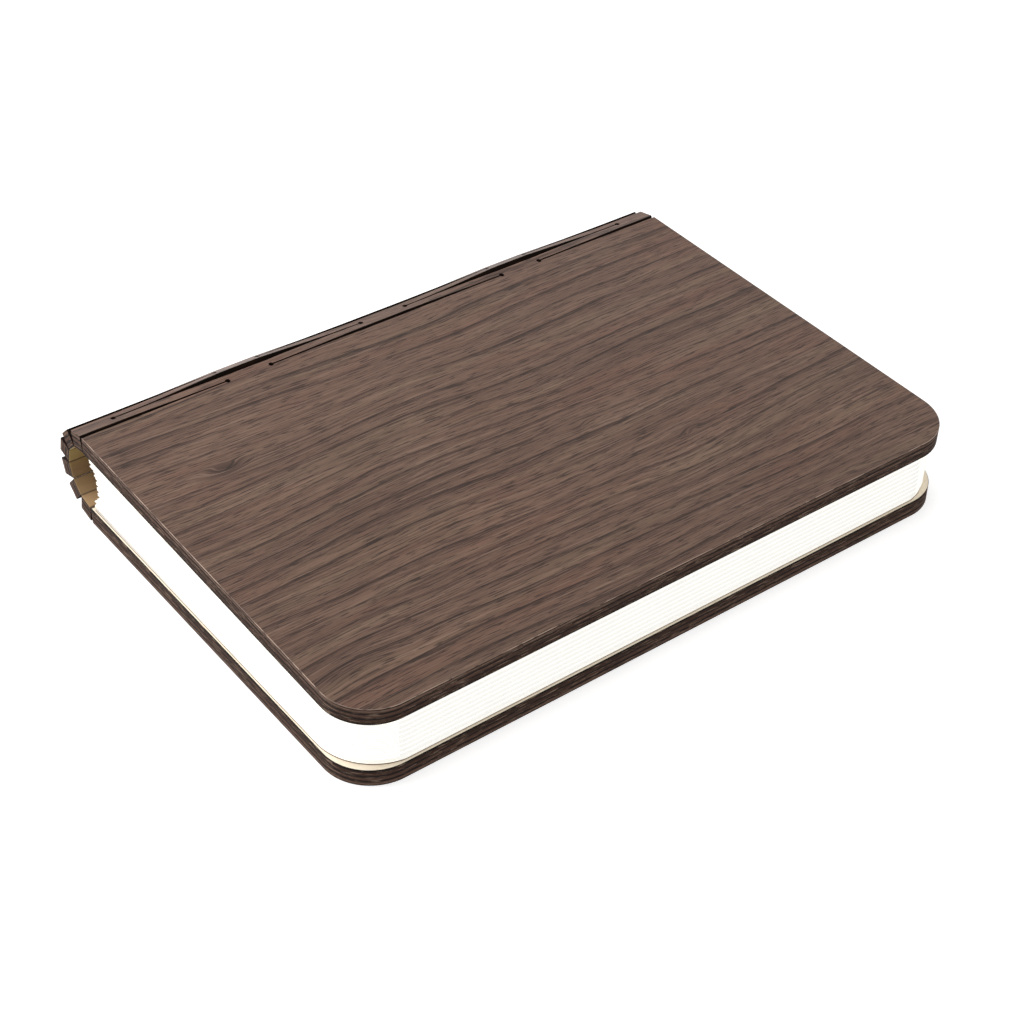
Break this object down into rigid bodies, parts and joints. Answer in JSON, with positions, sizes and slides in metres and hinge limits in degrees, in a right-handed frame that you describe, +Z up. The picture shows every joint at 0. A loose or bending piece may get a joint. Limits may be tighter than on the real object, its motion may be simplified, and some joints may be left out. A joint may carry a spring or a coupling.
{
  "type": "folding book lamp",
  "caption": "Cordless book-shaped lamp: hinged wooden covers open around a fan of glowing paper pages lit by a bar in the spine.",
  "frame": {"origin": "middle of the closed book's box, on the surface it rests on", "axes": "+X along the spine towards the charging socket, +Y from the fore-edge to the spine, +Z up out of the front cover"},
  "size_m": [0.17, 0.125, 0.025],
  "materials": {
    "walnut_board": "satin walnut veneer with charred edges",
    "paper": "matte translucent spun-fibre paper",
    "white_plastic": "matte",
    "frosted_lens": "frosted",
    "white_board": "white solder mask",
    "led_yellow": "phosphor filled",
    "foil_pouch": "satin foil",
    "red_wire": "wire insulation",
    "green_board": "green solder mask",
    "black_plastic": "moulded",
    "nickel_steel": "nickel plated",
    "clear_plastic": "clear",
    "cloth_tape": "woven"
  },
  "bodies": {
    "back_cover": {"back_cover": "walnut_board", "back_end_page": "paper", "back_cover_magnets": "nickel_steel"},
    "stave_6": {"stave_6": "walnut_board"},
    "stave_5": {"stave_5": "walnut_board"},
    "stave_4": {"stave_4": "walnut_board", "bar_tape_lower": "cloth_tape"},
    "stave_3": {"stave_3": "walnut_board", "bar_tape_upper": "cloth_tape"},
    "stave_2": {"stave_2": "walnut_board"},
    "stave_1": {"stave_1": "walnut_board"},
    "front_cover": {"front_cover": "walnut_board", "front_end_page": "paper", "front_cover_magnets": "nickel_steel", "trigger_magnet": "nickel_steel"},
    "light_bar": {"bar_housing": "white_plastic", "bar_lens": "frosted_lens", "bar_end_cap": "white_plastic", "bar_socket_cap": "white_plastic", "led_board": "white_board", "led_chips": "led_yellow", "battery_cell": "foil_pouch", "battery_leads": "red_wire", "led_leads": "red_wire", "control_board": "green_board", "charge_chip": "black_plastic", "lid_sensor": "black_plastic", "usb_socket": "nickel_steel", "charge_light_pipe": "clear_plastic"},
    "page_1": {"page_1": "paper"},
    "page_2": {"page_2": "paper"},
    "page_3": {"page_3": "paper"},
    "page_4": {"page_4": "paper"},
    "page_5": {"page_5": "paper"},
    "page_6": {"page_6": "paper"},
    "page_7": {"page_7": "paper"},
    "page_8": {"page_8": "paper"}
  },
  "joints": [
    {"name": "back_cover_fold", "type": "hinge", "parent": "back_cover", "child": "stave_6", "pos_m": [0, 0.04975, 0.0022], "axis": [-1, 0, 0], "range_deg": [0, 24]},
    {"name": "fold_5_6", "type": "hinge", "parent": "stave_6", "child": "stave_5", "pos_m": [0, 0.05516, 0.00344], "axis": [-1, 0, 0], "range_deg": [0, 62.4]},
    {"name": "fold_4_5", "type": "hinge", "parent": "stave_5", "child": "stave_4", "pos_m": [0, 0.05914, 0.0073], "axis": [-1, 0, 0], "range_deg": [0, 62.4]},
    {"name": "middle_fold", "type": "hinge", "parent": "stave_4", "child": "stave_3", "pos_m": [0, 0.06055, 0.01267], "axis": [-1, 0, 0], "range_deg": [0, 62.4]},
    {"name": "fold_2_3", "type": "hinge", "parent": "stave_3", "child": "stave_2", "pos_m": [0, 0.05898, 0.018], "axis": [-1, 0, 0], "range_deg": [0, 62.4]},
    {"name": "fold_1_2", "type": "hinge", "parent": "stave_2", "child": "stave_1", "pos_m": [0, 0.05487, 0.02173], "axis": [-1, 0, 0], "range_deg": [0, 62.4]},
    {"name": "front_cover_fold", "type": "hinge", "parent": "stave_1", "child": "front_cover", "pos_m": [0, 0.04942, 0.0228], "axis": [-1, 0, 0], "range_deg": [0, 24]},
    {"name": "light_bar_swing", "type": "hinge", "parent": "stave_4", "child": "light_bar", "pos_m": [0, 0.06055, 0.01267], "axis": [-1, 0, 0], "range_deg": [0, 31.2]},
    {"name": "page_1_turn", "type": "hinge", "parent": "light_bar", "child": "page_1", "pos_m": [0, 0.04779, 0.00682], "axis": [-1, 0, 0], "range_deg": [-140, 0]},
    {"name": "page_2_turn", "type": "hinge", "parent": "light_bar", "child": "page_2", "pos_m": [0, 0.04614, 0.00842], "axis": [-1, 0, 0], "range_deg": [-100, 0]},
    {"name": "page_3_turn", "type": "hinge", "parent": "light_bar", "child": "page_3", "pos_m": [0, 0.04554, 0.01003], "axis": [-1, 0, 0], "range_deg": [-60, 0]},
    {"name": "page_4_turn", "type": "hinge", "parent": "light_bar", "child": "page_4", "pos_m": [0, 0.04554, 0.01163], "axis": [-1, 0, 0], "range_deg": [-20, 0]},
    {"name": "page_5_turn", "type": "hinge", "parent": "light_bar", "child": "page_5", "pos_m": [0, 0.04554, 0.01324], "axis": [-1, 0, 0], "range_deg": [0, 20]},
    {"name": "page_6_turn", "type": "hinge", "parent": "light_bar", "child": "page_6", "pos_m": [0, 0.04554, 0.01485], "axis": [-1, 0, 0], "range_deg": [0, 60]},
    {"name": "page_7_turn", "type": "hinge", "parent": "light_bar", "child": "page_7", "pos_m": [0, 0.04614, 0.01647], "axis": [-1, 0, 0], "range_deg": [0, 100]},
    {"name": "page_8_turn", "type": "hinge", "parent": "light_bar", "child": "page_8", "pos_m": [0, 0.04779, 0.01813], "axis": [-1, 0, 0], "range_deg": [0, 140]}
  ],
  "couplings": [
    {"joint": "back_cover_fold", "follows": "middle_fold", "ratio": 0.38461},
    {"joint": "fold_5_6", "follows": "middle_fold", "ratio": 1},
    {"joint": "fold_4_5", "follows": "middle_fold", "ratio": 1},
    {"joint": "fold_2_3", "follows": "middle_fold", "ratio": 1},
    {"joint": "fold_1_2", "follows": "middle_fold", "ratio": 1},
    {"joint": "front_cover_fold", "follows": "middle_fold", "ratio": 0.38461},
    {"joint": "light_bar_swing", "follows": "middle_fold", "ratio": 0.5},
    {"joint": "page_1_turn", "follows": "middle_fold", "ratio": -2.2436},
    {"joint": "page_2_turn", "follows": "middle_fold", "ratio": -1.6026},
    {"joint": "page_3_turn", "follows": "middle_fold", "ratio": -0.96154},
    {"joint": "page_4_turn", "follows": "middle_fold", "ratio": -0.32051},
    {"joint": "page_5_turn", "follows": "middle_fold", "ratio": 0.32051},
    {"joint": "page_6_turn", "follows": "middle_fold", "ratio": 0.96154},
    {"joint": "page_7_turn", "follows": "middle_fold", "ratio": 1.6026},
    {"joint": "page_8_turn", "follows": "middle_fold", "ratio": 2.2436}
  ]
}
